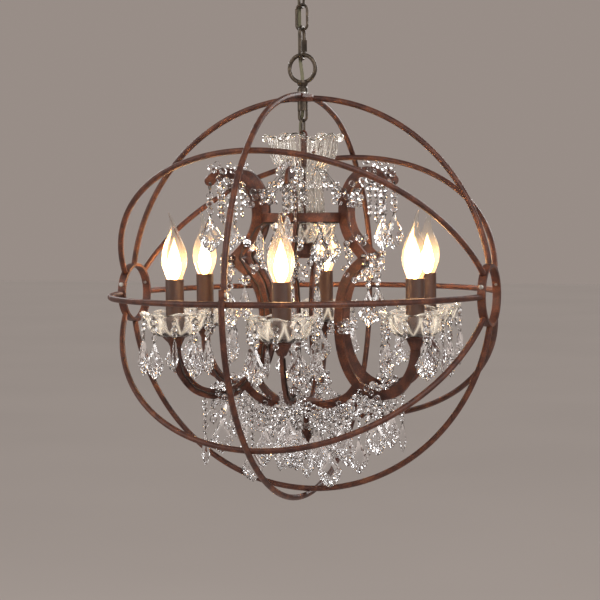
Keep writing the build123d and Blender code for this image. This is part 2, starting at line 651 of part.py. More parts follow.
def lower_pendants(hub):
    """Crystals under the arms, from arm to arm, round the hub and below the finial."""
    spot = arm_at(0.5) * Pos(22.5, 0, HUB_LOW - 1.5)
    under_hub = spot * chain_drop(4, width=NARROW_W) + (spot * Cylinder(PIN_R, 14) - hub)
    every_arm = [pinned(CUSP[0] + 5, CUSP[1] - 4, drop(1.0, 2), 17.0), pinned(107, -138.6, bead_chain(6), 7.0),
                 pinned(ARM_LOW[0], ARM_LOW[1] - 16, drop(1.0, 1), 5.0)]
    short_set = [pinned(148, -137.6, Rot(0, 0, 90) * drop(1.0, 1), 6.0),
                 pinned(62, -152.2, chain_drop(3, turn=90), 7.0)]
    long_set = [pinned(148, -137.6, chain_drop(6, 44, 12), 6.0), pinned(80, -141.6, chain_drop(8, turn=90), 7.0)]
    short_garland, long_garland = garland(2), garland(6)
    group = [Pos(0, 0, -210) * drop(2.0, 0, 42, 18)]
    for k in range(ARMS):
        pieces = every_arm + (long_set if k in LONG_BRACES else short_set)
        pieces.append(long_garland if k in LONG_GARLANDS else short_garland)
        group += [arm_at(k) * piece for piece in pieces]
        group.append(Rot(0, 0, 360 / ARMS * k) * under_hub)
    return Compound(children=[s for g in group for s in g.solids()])


# ---------------------------------------------------------------- assembly
add("canopy", canopy())
add("ceiling_crossbar", crossbar())
add("canopy_nipple", hollow_tube(NIPPLE_LOW, DROP - 0.5))
add("nipple_nut", hex_nut(DROP - BAR_T - 5, DROP - BAR_T))
add("canopy_loop", canopy_loop())
add("upper_link", oval_link(upper_top, upper_low, LINK_HALF, CHAIN_WIRE, (0, 1, 0)))
add("oval_link", oval_link(oval_top, oval_low, LINK_HALF, CHAIN_WIRE, (1, 0, 0)))
add("quick_link", quick_link())
add("quick_link_sleeve", quick_sleeve())
add("supply_cord", supply_cord())
add("hanging_ring", hanging_ring())
add("stem_washer", Pos(0, 0, PAD_MID + PAD_T + 1) * (Cylinder(7.6, 2) - Cylinder(TUBE_R, 2)))
add("orb_stem", hollow_tube(STEM_LOW, COLLAR_LOW + 7))
add("lower_loop", lower_loop())

add("hoop_top", bolt_pad(half_hoop(90, B_TOP), True, PAD_MID - PAD_T))
add("hoop_upper_back", half_hoop(45))
add("hoop_upper_front", half_hoop(135))
add("hoop_bottom", half_hoop(-90, R - 1))
add("hoop_lower_back", half_hoop(-45))
add("hoop_lower_front", half_hoop(-135))
add("hoop_equator_back", half_hoop(0))
add("hoop_equator_front", half_hoop(180))
add("cross_hoop_upper", cross_upper())
add("cross_hoop_lower", cross_lower())
for side, label in ((-1, "left"), (1, "right")):
    add("hub_%s_upper" % label, hub_half(side, True))
    add("hub_%s_lower" % label, hub_half(side, False))
add("cage_screws", cage_screws())

add("hanger_link", oval_link(inner_top, LINK_LOW, 5.2, 1.5, (0, 1, 0)))
add("centre_rod", centre_rod())
add("crown_ring", crown_ring())
add("flower_vase", flower_vase())
add("crown_dish", crown_dish())
add("crown_cup", crown_cup())
add("bottom_hub", bottom_hub())
add("bottom_dish", bottom_dish())
add("bottom_finial", bottom_finial())

first_arm = arm()
for k in range(ARMS):
    add("arm_%d" % (k + 1), arm_at(k) * first_arm)

candle = Pos(CANDLE_R, 0, 0)
saucer = bobeche()
add("candle_cups", six(candle * candle_cup()))
add("bobeches", six(candle * saucer))
add("lampholders", six(candle * lampholder()))
add("candle_sleeves", six(candle * candle_sleeve()))
add("bulbs", six(candle * bulb()))

WIRE_R, WIRE_SIDE = 1.2, 3.2
WIRE_ROUTE = [(14, 99.7), (60, 99.7), (72.5, 92), (83, 74.5), (93.5, 60.5), (95.5, 50.5), (85, 33.5),
              (70.5, 14), (62, -14), (60, -52),
              (66, -83), (80, -111), (103.5, -130), (124, -135), (144, -132.5), (162, -124.5),
              (178, -106), (187.5, -74)]
wire_path = FilletPolyline(*[(r, WIRE_SIDE, z) for r, z in WIRE_ROUTE], radius=7)
add("arm_wires", six(tube_along(wire_path, WIRE_R)))

pendants = bobeche_pendants(saucer)
add("bobeche_pendants", six(candle * Compound(children=[s for p in pendants for s in p.solids()])))
wraps = [bead_wrap(*place) for place in (((126, 165.2), 25), ((108, 167.5), 0), ((71.8, 131), -76),
                                         ((85.5, 71.5), 49), ((82, 30.5), -45), ((60, -45), 90), (ARM_LOW, 0))]
add("bead_rosettes", six(Compound(children=[s for w in wraps for s in w.solids()])))
add("bead_swags", six(Compound(children=[s for w in crown_swags() for s in w.solids()])))
add("lower_pendants", lower_pendants(bottom_hub()))
pendant = scroll_pendant()
for k in range(ARMS):
    add("scroll_pendant_%d" % (k + 1), arm_at(k) * pendant)

os.makedirs("parts", exist_ok=True)
to_ceiling = Pos(0, 0, -DROP)
for name, shape in nodes.items():
    solids = (to_ceiling * shape).solids()
    piece = solids[0] if len(solids) == 1 else Compound(children=solids)
    export_step(piece, "parts/%s.step" % name)
print(len(nodes), "nodes")
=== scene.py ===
import json
import random
from math import cos, pi, radians, sin

import bmesh
import bpy
from mathutils import Matrix, Vector


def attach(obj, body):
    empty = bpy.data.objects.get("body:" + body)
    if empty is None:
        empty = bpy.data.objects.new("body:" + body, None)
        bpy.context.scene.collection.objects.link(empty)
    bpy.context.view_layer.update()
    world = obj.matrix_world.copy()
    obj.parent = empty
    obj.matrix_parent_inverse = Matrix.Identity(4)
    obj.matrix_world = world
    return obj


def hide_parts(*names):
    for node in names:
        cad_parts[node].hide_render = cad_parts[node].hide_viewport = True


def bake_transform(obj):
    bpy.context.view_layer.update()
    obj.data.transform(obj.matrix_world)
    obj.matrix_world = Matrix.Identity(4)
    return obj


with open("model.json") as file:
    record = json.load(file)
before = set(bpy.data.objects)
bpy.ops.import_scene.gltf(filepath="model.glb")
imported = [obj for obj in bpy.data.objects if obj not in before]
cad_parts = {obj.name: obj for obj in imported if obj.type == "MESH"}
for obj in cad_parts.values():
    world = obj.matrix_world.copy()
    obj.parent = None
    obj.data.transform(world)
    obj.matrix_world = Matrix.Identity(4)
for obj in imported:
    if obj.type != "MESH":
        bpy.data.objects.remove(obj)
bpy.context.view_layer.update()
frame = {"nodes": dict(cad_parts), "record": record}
nodes = frame["nodes"]
rng = random.Random(7)

DROP = 0.485                # ceiling to the centre of the orb, in metres
ARM_ANGLES = [42 + 60 * k for k in range(6)]
CANDLE_R = 189              # candles from the middle, in millimetres


def mm(*values):
    """Millimetres to metres, as a number or a vector."""
    return values[0] / 1000 if len(values) == 1 else Vector(v / 1000 for v in values)


def level(z):
    """Height in metres of a level in millimetres above the orb's centre."""
    return z / 1000 - DROP


# ---------------------------------------------------------------- camera
def aim_camera():
    """Stands a little right of the front and slightly above the orb's centre."""
    turn, tilt, roll, distance = radians(21.2), radians(2.93), radians(-0.62), 2.365
    ahead = Vector((-sin(turn) * cos(tilt), cos(turn) * cos(tilt), -sin(tilt)))
    right = Vector((cos(turn), sin(turn), 0))
    up = right.cross(ahead)
    side = right * cos(roll) + up * sin(roll)
    top = up * cos(roll) - right * sin(roll)
    camera = bpy.data.objects.new("camera", bpy.data.cameras.new("camera"))
    bpy.context.scene.collection.objects.link(camera)
    place = Vector((0, 0, -DROP)) - ahead * distance
    camera.matrix_world = Matrix.Translation(place) @ Matrix((side, top, -ahead)).transposed().to_4x4()
    camera.data.sensor_width = 36
    camera.data.lens = 101.45
    camera.data.shift_x = -0.0080
    camera.data.shift_y = -0.0105
    camera.data.clip_end = 100
    bpy.context.scene.camera = camera


aim_camera()


# ---------------------------------------------------------------- materials
def material(name, slot=""):
    """New material that remembers the slot of the record it belongs to."""
    made = bpy.data.materials.new(name)
    made.use_nodes = True
    made["slot"] = slot
    return made


def shader(made):
    return made.node_tree.nodes["Principled BSDF"]


def add(made, kind, **values):
    """New shader node; values set its properties or, where it has none of that name, its inputs."""
    node = made.node_tree.nodes.new(kind)
    for key, value in values.items():
        if hasattr(node, key):
            setattr(node, key, value)
        else:
            node.inputs[key.replace("_", " ")].default_value = value
    return node


def join(made, out, into):
    made.node_tree.links.new(out, into)


def noise_at(made, scale, detail, stretch=(1, 1, 1)):
    """Noise on Object coordinates, scale per metre."""
    where = add(made, "ShaderNodeTexCoord")
    place = add(made, "ShaderNodeMapping")
    place.inputs["Scale"].default_value = stretch
    join(made, where.outputs["Object"], place.inputs["Vector"])
    field = add(made, "ShaderNodeTexNoise", Scale=scale, Detail=detail)
    join(made, place.outputs["Vector"], field.inputs["Vector"])
    return field


def ramp(made, source, stops, socket="Base Color"):
    """Colour ramp from a value into a colour of the shader; stops are (place, colour)."""
    node = add(made, "ShaderNodeValToRGB")
    bar = node.color_ramp
    while len(bar.elements) < len(stops):
        bar.elements.new(0.5)
    for spot, (place, colour) in zip(bar.elements, stops):
        spot.position = place
        spot.color = (*colour, 1)
    join(made, source, node.inputs["Fac"])
    join(made, node.outputs["Color"], shader(made).inputs[socket])


def spread(made, source, low, high, socket="Roughness"):
    """Value of 0 to 1 spread from low to high on a socket of the shader."""
    span = add(made, "ShaderNodeMapRange")
    span.inputs["To Min"].default_value = low
    span.inputs["To Max"].default_value = high
    join(made, source, span.inputs["Value"])
    join(made, span.outputs["Result"], shader(made).inputs[socket])


def height_between(made, low, high):
    """0 to 1 between two levels of the lamp at rest."""
    where = add(made, "ShaderNodeTexCoord")
    split = add(made, "ShaderNodeSeparateXYZ")
    join(made, where.outputs["Object"], split.inputs["Vector"])
    span = add(made, "ShaderNodeMapRange")
    span.inputs["From Min"].default_value = level(low)
    span.inputs["From Max"].default_value = level(high)
    join(made, split.outputs["Z"], span.inputs["Value"])
    return span.outputs["Result"]


def emboss(made, source, strength, depth=0.0005):
    bump = add(made, "ShaderNodeBump", Strength=strength, Distance=depth)
    join(made, source, bump.inputs["Height"])
    join(made, bump.outputs["Normal"], shader(made).inputs["Normal"])


def rusted_iron():
    """Brown iron: fine rust grain over darker and redder patches."""
    made = material("rusted_iron", "rust_iron")
    patch, grain = noise_at(made, 60, 5), noise_at(made, 620, 5)
    patch_share = 0.55
    both = add(made, "ShaderNodeMath", operation="MULTIPLY_ADD")
    both.inputs[1].default_value = patch_share
    join(made, patch.outputs["Fac"], both.inputs[0])
    rest = add(made, "ShaderNodeMath", operation="MULTIPLY")
    rest.inputs[1].default_value = 1 - patch_share
    join(made, grain.outputs["Fac"], rest.inputs[0])
    join(made, rest.outputs[0], both.inputs[2])
    ramp(made, both.outputs[0], [(0.38, (0.034, 0.013, 0.010)), (0.47, (0.062, 0.022, 0.015)),
                                 (0.55, (0.100, 0.034, 0.020)), (0.66, (0.19, 0.066, 0.028))])
    shader(made).inputs["Metallic"].default_value = 0.1
    shader(made).inputs["Specular IOR Level"].default_value = 0.32
    spread(made, grain.outputs["Fac"], 0.32, 0.62)
    emboss(made, both.outputs[0], 0.45)
    return made


def dark_bronze():
    """Bronzed steel of the chain and ring, rubbed brighter in places."""
    made = material("dark_bronze", "dark_bronze")
    rub, grain = noise_at(made, 120, 5), noise_at(made, 900, 3)
    ramp(made, rub.outputs["Fac"], [(0.35, (0.050, 0.040, 0.031)), (0.60, (0.095, 0.072, 0.052)),
                                    (0.78, (0.20, 0.155, 0.11))])
    shader(made).inputs["Metallic"].default_value = 0.8
    spread(made, grain.outputs["Fac"], 0.28, 0.5)
    emboss(made, grain.outputs["Fac"], 0.15)
    return made


def bright_steel():
    """Plated steel of the screws and threaded tubes, faintly brushed."""
    made = material("bright_steel", "bright_steel")
    brush = noise_at(made, 400, 4, (1, 1, 0.15))
    ramp(made, brush.outputs["Fac"], [(0.3, (0.45, 0.44, 0.42)), (0.7, (0.68, 0.67, 0.64))])
    shader(made).inputs["Metallic"].default_value = 1.0
    spread(made, brush.outputs["Fac"], 0.2, 0.4)
    return made


def glassy(name, slot, tint, ripple, rough=0.015):
    """Clear glass with faint waves from pressing or cutting."""
    made = material(name, slot)
    body = shader(made)
    body.inputs["Base Color"].default_value = (*tint, 1)
    body.inputs["Transmission Weight"].default_value = 1.0
    body.inputs["IOR"].default_value = 1.54
    wave = noise_at(made, 160, 3)
    spread(made, wave.outputs["Fac"], rough * 0.5, rough * 2)
    emboss(made, wave.outputs["Fac"], ripple, 0.001)
    return made


def cut_glass_painted_glint():
    """Pressed glass whose cuts, stored on each vertex, are frosted and carry a painted warm glint that glows
    by emission.
    """
    made = glassy("cut_glass_painted_glint", "clear_glass", (1.0, 0.985, 0.96), 0.05)
    cut_glint = add(made, "ShaderNodeAttribute", attribute_name="cut_glint").outputs["Fac"]
    spread(made, cut_glint, 1.0, 0.66, "Transmission Weight")
    # Painted highlight: the marked cuts glow warm by emission, brighter the deeper the mark.
    ramp(made, cut_glint, [(0.0, (0.0, 0.0, 0.0)), (0.5, (0.08, 0.068, 0.05)), (1.0, (0.34, 0.28, 0.20))],
         "Emission Color")
    shader(made).inputs["Emission Strength"].default_value = 1.0
    return made


def braided_cover():
    """Woven textile cover of the supply cord."""
    made = material("braided_cover", "supply_cord")
    weave = add(made, "ShaderNodeTexWave", Scale=260.0, Distortion=2.0)
    where = add(made, "ShaderNodeTexCoord")
    join(made, where.outputs["Object"], weave.inputs["Vector"])
    ramp(made, weave.outputs["Fac"], [(0.2, (0.085, 0.078, 0.042)), (0.8, (0.22, 0.20, 0.12))])
    spread(made, weave.outputs["Fac"], 0.65, 0.85)
    emboss(made, weave.outputs["Fac"], 0.5)
    return made


def plain_plastic(name, slot, colour, low, high):
    """Plastic or paint of one colour, a little darker in spots."""
    made = material(name, slot)
    grain = noise_at(made, 300, 3)
    ramp(made, grain.outputs["Fac"], [(0.3, tuple(c * 0.8 for c in colour)), (0.7, colour)])
    spread(made, grain.outputs["Fac"], low, high)
    return made


def lit_glass():
    """Bulb glass, warm and lit low down and clear at the tip."""
    made = material("lit_glass", "bulb_glass")
    body = shader(made)
    body.inputs["Base Color"].default_value = (1.0, 0.96, 0.88, 1)
    body.inputs["Transmission Weight"].default_value = 1.0
    body.inputs["IOR"].default_value = 1.2
    body.inputs["Roughness"].default_value = 0.04
    body.inputs["Alpha"].default_value = 0.55
    ramp(made, height_between(made, 26, 104),
         [(0.0, (1.5, 0.72, 0.24)), (0.28, (1.9, 1.12, 0.45)), (0.5, (0.70, 0.41, 0.17)),
          (0.72, (0.11, 0.07, 0.04)), (1.0, (0.0, 0.0, 0.0))], "Emission Color")
    body.inputs["Emission Strength"].default_value = 1.0
    return made


def glowing_wire():
    """The bright heart of a lit bulb, white low down and yellow towards its point."""
    made = material("glowing_wire")
    body = shader(made)
    body.inputs["Base Color"].default_value = (0.9, 0.6, 0.3, 1)
    ramp(made, height_between(made, 28, 82),
         [(0.0, (0.9, 0.42, 0.13)), (0.2, (1.0, 0.62, 0.28)), (0.5, (0.9, 0.50, 0.19)),
          (0.75, (0.12, 0.065, 0.022)), (1.0, (0.010, 0.006, 0.002))], "Emission Color")
    body.inputs["Emission Strength"].default_value = 110.0
    return made


RUST = rusted_iron()
BRONZE = dark_bronze()
STEEL = bright_steel()
PRESSED = glassy("pressed_glass", "clear_glass", (0.98, 0.98, 0.97), 0.12)
GLINT_PAINTED_CUT_GLASS = cut_glass_painted_glint()
CRYSTAL = glassy("cut_crystal", "cut_crystal", (0.99, 0.99, 1.0), 0.03, 0.008)
BULB = lit_glass()
GLOW = glowing_wire()
COVER = braided_cover()
WIRE = plain_plastic("arm_wire", "arm_wire", (0.035, 0.022, 0.018), 0.5, 0.7)
SLEEVE = plain_plastic("painted_sleeve", "candle_sleeve", (0.070, 0.030, 0.018), 0.40, 0.60)
SOCKET = plain_plastic("lampholder", "lampholder", (0.02, 0.02, 0.02), 0.4, 0.6)

FINISH = {"rust_iron": RUST, "dark_bronze": BRONZE, "bright_steel": STEEL, "clear_glass": PRESSED,
          "cut_crystal": CRYSTAL, "bulb_glass": BULB, "candle_sleeve": SLEEVE, "lampholder": SOCKET,
          "supply_cord": COVER, "arm_wire": WIRE}

for part in frame["record"]["subparts"]:
    piece = nodes[part["node"]]
    for spot in piece.material_slots:
        spot.material = FINISH[part["material_slot"]]


# ---------------------------------------------------------------- mesh tools
def finished(bm, name, paint, body, stands_for=(), smooth=False):
    """Turn a bmesh, already in its place, into a piece that rides on a body and replaces CAD nodes."""
    mesh = bpy.data.meshes.new(name)
    bm.to_mesh(mesh)
    bm.free()
    for face in mesh.polygons:
        face.use_smooth = smooth
    piece = bpy.data.objects.new(name, mesh)
    bpy.context.scene.collection.objects.link(piece)
    mesh.materials.append(paint)
    if body:
        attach(piece, body)
    if stands_for:
        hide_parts(*stands_for)
    return piece


def stock(bm, name):
    """Keep a small shape as a mesh that is laid many times."""
    mesh = bpy.data.meshes.new(name)
    bm.to_mesh(mesh)
    bm.free()
    return mesh


def lay(bm, shape, place):
    """Add a copy of a stock shape at a place."""
    count = len(bm.verts)
    bm.from_mesh(shape)
    bm.verts.ensure_lookup_table()
    bmesh.ops.transform(bm, matrix=place, verts=bm.verts[count:])


def spun(profile, steps):
    """Closed shell from a closed (r, z) outline in millimetres, turned about Z."""
    bm = bmesh.new()
    ring = [bm.verts.new(mm(max(r, 0.0), 0, z)) for r, z in profile]
    edges = [bm.edges.new((a, b)) for a, b in zip(ring, ring[1:] + ring[:1])]
    bmesh.ops.spin(bm, geom=ring + edges, cent=(0, 0, 0), axis=(0, 0, 1), angle=2 * pi, steps=steps,
                   use_merge=True)
    bmesh.ops.remove_doubles(bm, verts=bm.verts, dist=1e-6)
    bmesh.ops.recalc_face_normals(bm, faces=bm.faces)
    return bm


def smooth_outline(points, per):
    """Catmull-Rom points along a closed outline, for a rounder spin."""
    out, n = [], len(points)
    for i in range(n):
        a, b, c, d = (Vector(points[(i + k) % n]) for k in (-1, 0, 1, 2))
        for s in range(per):
            t = s / per
            square, cube = a * 2 - b * 5 + c * 4 - d, b * 3 - a - c * 3 + d
            p = b * 2 + (c - a) * t + square * t * t + cube * t ** 3
            out.append((p.x / 2, p.y / 2))
    return out


def turning(angle, axis="Z"):
    return Matrix.Rotation(radians(angle), 4, axis)


def at(r, angle, z):
    """Place at a radius and level on the plane of an angle, its X axis outwards."""
    a = radians(angle)
    return Matrix.Translation((r / 1000 * cos(a), r / 1000 * sin(a), level(z))) @ Matrix.Rotation(a, 4, "Z")


def within(value, low=0.0, high=1.0):
    return min(high, max(low, value))


def cut_bead(radius, thick):
    """Flat eight-sided bead with a small table on each face, lying in the XZ plane."""
    bm = bmesh.new()
    for s in (-1, 1):
        lift = turning(90, "X") @ Matrix.Translation((0, 0, s * mm(thick) / 4))
        bmesh.ops.create_cone(bm, cap_ends=True, segments=8, radius1=mm(radius) * (1 if s > 0 else 0.5),
                              radius2=mm(radius) * (0.5 if s > 0 else 1), depth=mm(thick) / 2, matrix=lift)
    bmesh.ops.remove_doubles(bm, verts=bm.verts, dist=1e-6)
    inner = [f for f in bm.faces if len(f.verts) == 8 and abs(f.calc_center_median().y) < mm(thick) / 8]
    bmesh.ops.delete(bm, geom=inner, context="FACES_ONLY")
    bmesh.ops.recalc_face_normals(bm, faces=bm.faces)
    return bm


def round_bead(radius):
    """Ball with flat facets between bevelled edges."""
    bm = bmesh.new()
    bmesh.ops.create_icosphere(bm, subdivisions=1, radius=mm(radius))
    bmesh.ops.bevel(bm, geom=bm.edges[:], offset=mm(radius) * 0.18, affect="EDGES", segments=1, profile=0.5,
                    material=-1)
    return bm


# Right half of two pendants, from the top of each to its point.
PEAR = [(1.0, 0), (2.4, -2.6), (4.8, -8), (8.6, -15), (13.0, -22), (16.2, -28), (16.8, -31.5),
        (14.9, -33.4), (14.8, -36.6), (13.4, -39.4), (10.9, -40.2), (10.4, -43.2), (8.4, -45.2), (6.2, -45.4),
        (4.6, -48.2), (0.8, -50)]
SPEAR = [(0.8, 0), (2.4, -5), (4.2, -14), (5.4, -24), (5.6, -28), (3.8, -36), (0.7, -44)]


def pendant(half, thick):
    """Cut pendant hanging from the origin: thin edge, rings of facets with V cuts low down, and a table."""
    bm = bmesh.new()
    outline = half + [(-x, z) for x, z in reversed(half)]
    rim = [bm.verts.new(mm(x, 0, z)) for x, z in outline]
    front = bm.faces.new(rim)
    back = front.copy()
    middle = Vector((0, 0, mm(0.52 * half[-1][1])))
    for face, side in ((front, -1), (back, 1)):
        for shrink, lift, groove in ((0.80, 0.30, 0.5), (0.75, 0.46, 0.8), (0.62, 0.5, 1.0)):
            bmesh.ops.inset_region(bm, faces=[face], thickness=1e-5, use_boundary=True)
            for k, v in enumerate(face.verts):
                flat = Vector((v.co.x, 0, v.co.z))
                goal = middle + (flat - middle) * shrink
                depth = lift * (groove if k % 2 and flat.z < middle.z else 1.0)
                v.co = Vector((goal.x, side * mm(thick) * depth, goal.z))
    bmesh.ops.remove_doubles(bm, verts=bm.verts, dist=1e-6)
    bmesh.ops.triangulate(bm, faces=[f for f in bm.faces if len(f.verts) > 4])
    bmesh.ops.recalc_face_normals(bm, faces=bm.faces)
    return bm


def wire_ring(radius, wire, steps):
    """Upright ring of round wire in the YZ plane."""
    bm = bmesh.new()
    bmesh.ops.create_circle(bm, segments=6, radius=mm(wire), matrix=Matrix.Translation((0, mm(radius), 0)))
    bmesh.ops.spin(bm, geom=bm.verts[:] + bm.edges[:], cent=(0, 0, 0), axis=(1, 0, 0), angle=2 * pi,
                   steps=steps, use_merge=True)
    bmesh.ops.remove_doubles(bm, verts=bm.verts, dist=1e-6)
    bmesh.ops.recalc_face_normals(bm, faces=bm.faces)
    return bm


def wire_piece(radius):
    """Straight wire one metre long, upwards from the origin."""
    bm = bmesh.new()
    bmesh.ops.create_cone(bm, cap_ends=True, segments=6, radius1=mm(radius), radius2=mm(radius), depth=1,
                          matrix=Matrix.Translation((0, 0, 0.5)))
    return bm


# ---------------------------------------------------------------- supply cord
CORD_R = 2.5
CORD_IN, CORD_SIDE = 4.6, 5.7       # beside the rod in the crown, and behind the chain
ROUTE = [(0, 0, 484), (0, 0, 450), (-0.5 * CORD_SIDE, 0.5 * CORD_SIDE, 441), (-CORD_SIDE, CORD_SIDE, 430),
         (-CORD_SIDE, CORD_SIDE, 402), (-CORD_SIDE, CORD_SIDE, 368), (-CORD_SIDE, CORD_SIDE, 341),
         (-CORD_SIDE, CORD_SIDE, 330), (-3.4, 3.5, 317), (0, 0.1, 303), (0, 0, 288), (0, 0, 270),
         (0, 0, 255.5), (-2.6, 4.3, 247.5), (-CORD_SIDE, CORD_SIDE, 238), (-CORD_SIDE, CORD_SIDE, 222),
         (-CORD_SIDE, CORD_SIDE, 190), (-CORD_SIDE, CORD_SIDE, 150), (-CORD_IN, CORD_IN, 118),
         (-CORD_IN, CORD_IN, 84), (-CORD_IN, CORD_IN, 58)]
# Each span of the cord, cut from the whole cord at its ends: its bodies, its ends and the levels between
# which it turns.
SPANS = [("ceiling_mount", "upper_chain_link", 490, 413, 440, 416),
         ("upper_chain_link", "oval_chain_link", 413, 382, 408, 387),
         ("oval_chain_link", "quick_link", 382, 347, 377, 353),
         ("quick_link", "orb", 347, 270, 340, 303),
         ("orb", "hanger_link", 270, 232, 254, 233),
         ("hanger_link", "chandelier", 232, 0, 231, 195)]


def cord_tube():
    """The whole cord along its route, as a mesh."""
    line = bpy.data.curves.new("cord_line", "CURVE")
    line.dimensions = "3D"
    spline = line.splines.new("NURBS")
    spline.points.add(len(ROUTE) - 1)
    for point, (x, y, z) in zip(spline.points, ROUTE):
        point.co = (x / 1000, y / 1000, level(z), 1)
    spline.order_u = 3
    spline.use_endpoint_u = True
    spline.resolution_u = 8
    line.bevel_depth = mm(CORD_R)
    line.bevel_resolution = 3
    line.use_fill_caps = True
    holder = bpy.data.objects.new("cord_line", line)
    mesh = bpy.data.meshes.new_from_object(holder)
    bpy.data.objects.remove(holder)
    return mesh


def make_cord():
    tube = cord_tube()
    for number, (body_a, body_b, high, low, start, end) in enumerate(SPANS):
        bm = bmesh.new()
        bm.from_mesh(tube)
        for z, side in ((high, 1), (low, -1)):
            bmesh.ops.bisect_plane(bm, geom=bm.verts[:] + bm.edges[:] + bm.faces[:],
                                   plane_co=(0, 0, level(z)), plane_no=(0, 0, side), clear_outer=True)
        piece = finished(bm, "cord_span_%d" % (number + 1), COVER, None, ("supply_cord",), True)
        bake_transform(piece)


make_cord()


# ---------------------------------------------------------------- glass
LOBE_TURN = 21              # degrees; two lobes of the vase stand left and right of the front
FLUTES = 24
SAUCER_FOOT = -52           # level of a saucer's underside


def turn_of(point):
    """Angle of a point round the Z axis."""
    return Vector((1, 0)).angle_signed(point.xy)


def widen(vertex, grow):
    vertex.co.x *= grow
    vertex.co.y *= grow


def crossing_cuts(turn, slide, count, slope):
    """1 on the lines of two crossing families of cuts that lean as slide grows, 0 away from them."""
    return max(abs(cos(count * turn + side * slope * slide)) ** 10 for side in (-1, 1))


def mark_cut_glints(piece, depth_at):
    """Store on each vertex of a glass piece how deep it lies in one of the cuts, 0 to 1, which is also how
    strongly its painted glint glows.
    """
    mesh = piece.data
    cut_glint = mesh.attributes.new("cut_glint", "FLOAT", "POINT")
    cut_glint.data.foreach_set("value", [depth_at(v.index, v.co) for v in mesh.vertices])


def make_vase():
    """Tulip vase: fluted tube, narrow neck, flutes up the flare and six curled lobes."""
    outline = [(26.5, 105), (26, 117), (25.2, 132), (24.2, 145), (23.6, 155), (25, 163), (30, 171.5),
               (36.6, 180), (42, 188.5), (45.4, 198), (47, 207), (49.6, 213.5), (52, 216.5), (51, 218.5),
               (47.4, 215.6), (44.2, 208.5), (42.2, 199), (38.8, 190), (33.4, 182), (27.2, 174),
               (22.2, 165.5), (20.8, 156), (21.4, 145), (22.4, 132), (23.2, 117), (23.4, 105)]
    neck, rim, curl_from = 178, 218, 212
    bm = spun(smooth_outline(outline, 3), 8 * FLUTES)
    for v in bm.verts:
        r = v.co.xy.length * 1000
        z = v.co.z * 1000
        turn = turn_of(v.co)
        flare = within((z - neck) / (rim - neck))
        lobe = cos(6 * (turn - radians(LOBE_TURN)))
        flute = 2.8 * abs(sin(FLUTES / 2 * turn))
        widen(v, 1 + flute / r + flare ** 2 * (0.09 * lobe - 0.06))
        curl = max(0.0, (z - curl_from) / 12) * max(0.0, lobe) ** 2 * max(0.0, (r - 46) / 6)
        v.co.z += mm(5.0 * flare ** 2 * lobe + 0.8 * flare * cos(18 * turn) - 4.0 * curl)
        v.co.z -= DROP
    knot = bmesh.new()
    bmesh.ops.create_uvsphere(knot, u_segments=16, v_segments=10, radius=mm(6.2))
    knot = stock(knot, "curled_lobe")
    for k in range(6):
        lay(bm, knot, at(51, LOBE_TURN + 60 * k, 217) @ Matrix.Scale(1.5, 4, (0, 1, 0)))
    vase = finished(bm, "ruffled_vase", GLINT_PAINTED_CUT_GLASS, "chandelier", ("flower_vase",), True)
    # Painted highlight: the flute lines are marked to glow as bright glints.
    mark_cut_glints(vase, lambda _, co: 0.6 * abs(cos(FLUTES / 2 * turn_of(co))) ** 30)


def crown_cuts(turn, z):
    return crossing_cuts(turn, z - 84, 8, 0.12)


def make_crown_dish():
    """Cut dish that closes the crown from below."""
    outline = [(11, 71.2), (24, 71.2), (31, 74), (37, 78), (41.5, 83.5), (44.6, 90), (47, 98), (44, 98),
               (41.6, 91), (38.6, 85.4), (34.5, 81), (29.5, 77.4), (23, 74.5), (11, 74.5)]
    bm = spun(smooth_outline(outline, 3), 120)
    for v in bm.verts:
        out = within((v.co.xy.length * 1000 - 20) / 12)
        widen(v, 1 - 0.035 * out * crown_cuts(turn_of(v.co), v.co.z * 1000))
        v.co.z -= DROP
    dish = finished(bm, "cut_crown_dish", GLINT_PAINTED_CUT_GLASS, "chandelier", ("crown_dish",), True)
    # Painted highlight: the crossing cuts of the dish are marked to glow as glints.
    mark_cut_glints(dish, lambda _, co: 0.7 * crown_cuts(turn_of(co), (co.z + DROP) * 1000) ** 2)


def make_bottom_dish():
    """Small dish round the rod under the hub, with a scalloped rim."""
    outline = [(4.2, -190), (10, -190), (15.5, -186), (18, -179.5), (16, -179), (13.7, -184.2), (9.5, -187.6),
               (4.2, -187.6)]
    rim_from = mm(14)
    bm = spun(outline, 32)
    for v in bm.verts:
        v.co.z += mm(1.2 * cos(8 * turn_of(v.co))) if v.co.xy.length > rim_from else 0
        v.co.z -= DROP
    finished(bm, "scalloped_bottom_dish", PRESSED, "chandelier", ("bottom_dish",))


def saucer_cuts(r, turn):
    """Depth of the crossing cuts round a saucer's side, none near its foot and its rim."""
    return within((r - 23) / 4) * within((46.6 - r) / 3) * crossing_cuts(turn, r - 26, 6, 0.10)


def saucer():
    """Pressed saucer with long crossing cuts round its side and a thin wavy rim."""
    outline = [(4.8, 0), (12, 0), (24, 0), (29, 3.0), (33, 6.2), (37, 10.6), (40.6, 16), (43.6, 22),
               (46.2, 27.4), (48.2, 31), (47.2, 32), (44.6, 28), (41.8, 22.4), (38.8, 17), (35.2, 12),
               (31.4, 8.0), (27.6, 5.2), (23, 3.7), (12, 3.7), (4.8, 3.7)]
    waves = 9
    bm = spun(smooth_outline([(r, SAUCER_FOOT + z) for r, z in outline], 2), 144)
    for v in bm.verts:
        r, turn = v.co.xy.length * 1000, turn_of(v.co)
        out = within((r - 24) / 22)
        cuts = saucer_cuts(r, turn)
        widen(v, 1 - 0.030 * cuts + 0.022 * out ** 4 * cos(waves * turn))
        v.co.z += mm(1.7 * out ** 3 * cos(waves * turn) + 1.1 * cuts)
    return stock(bm, "saucer")


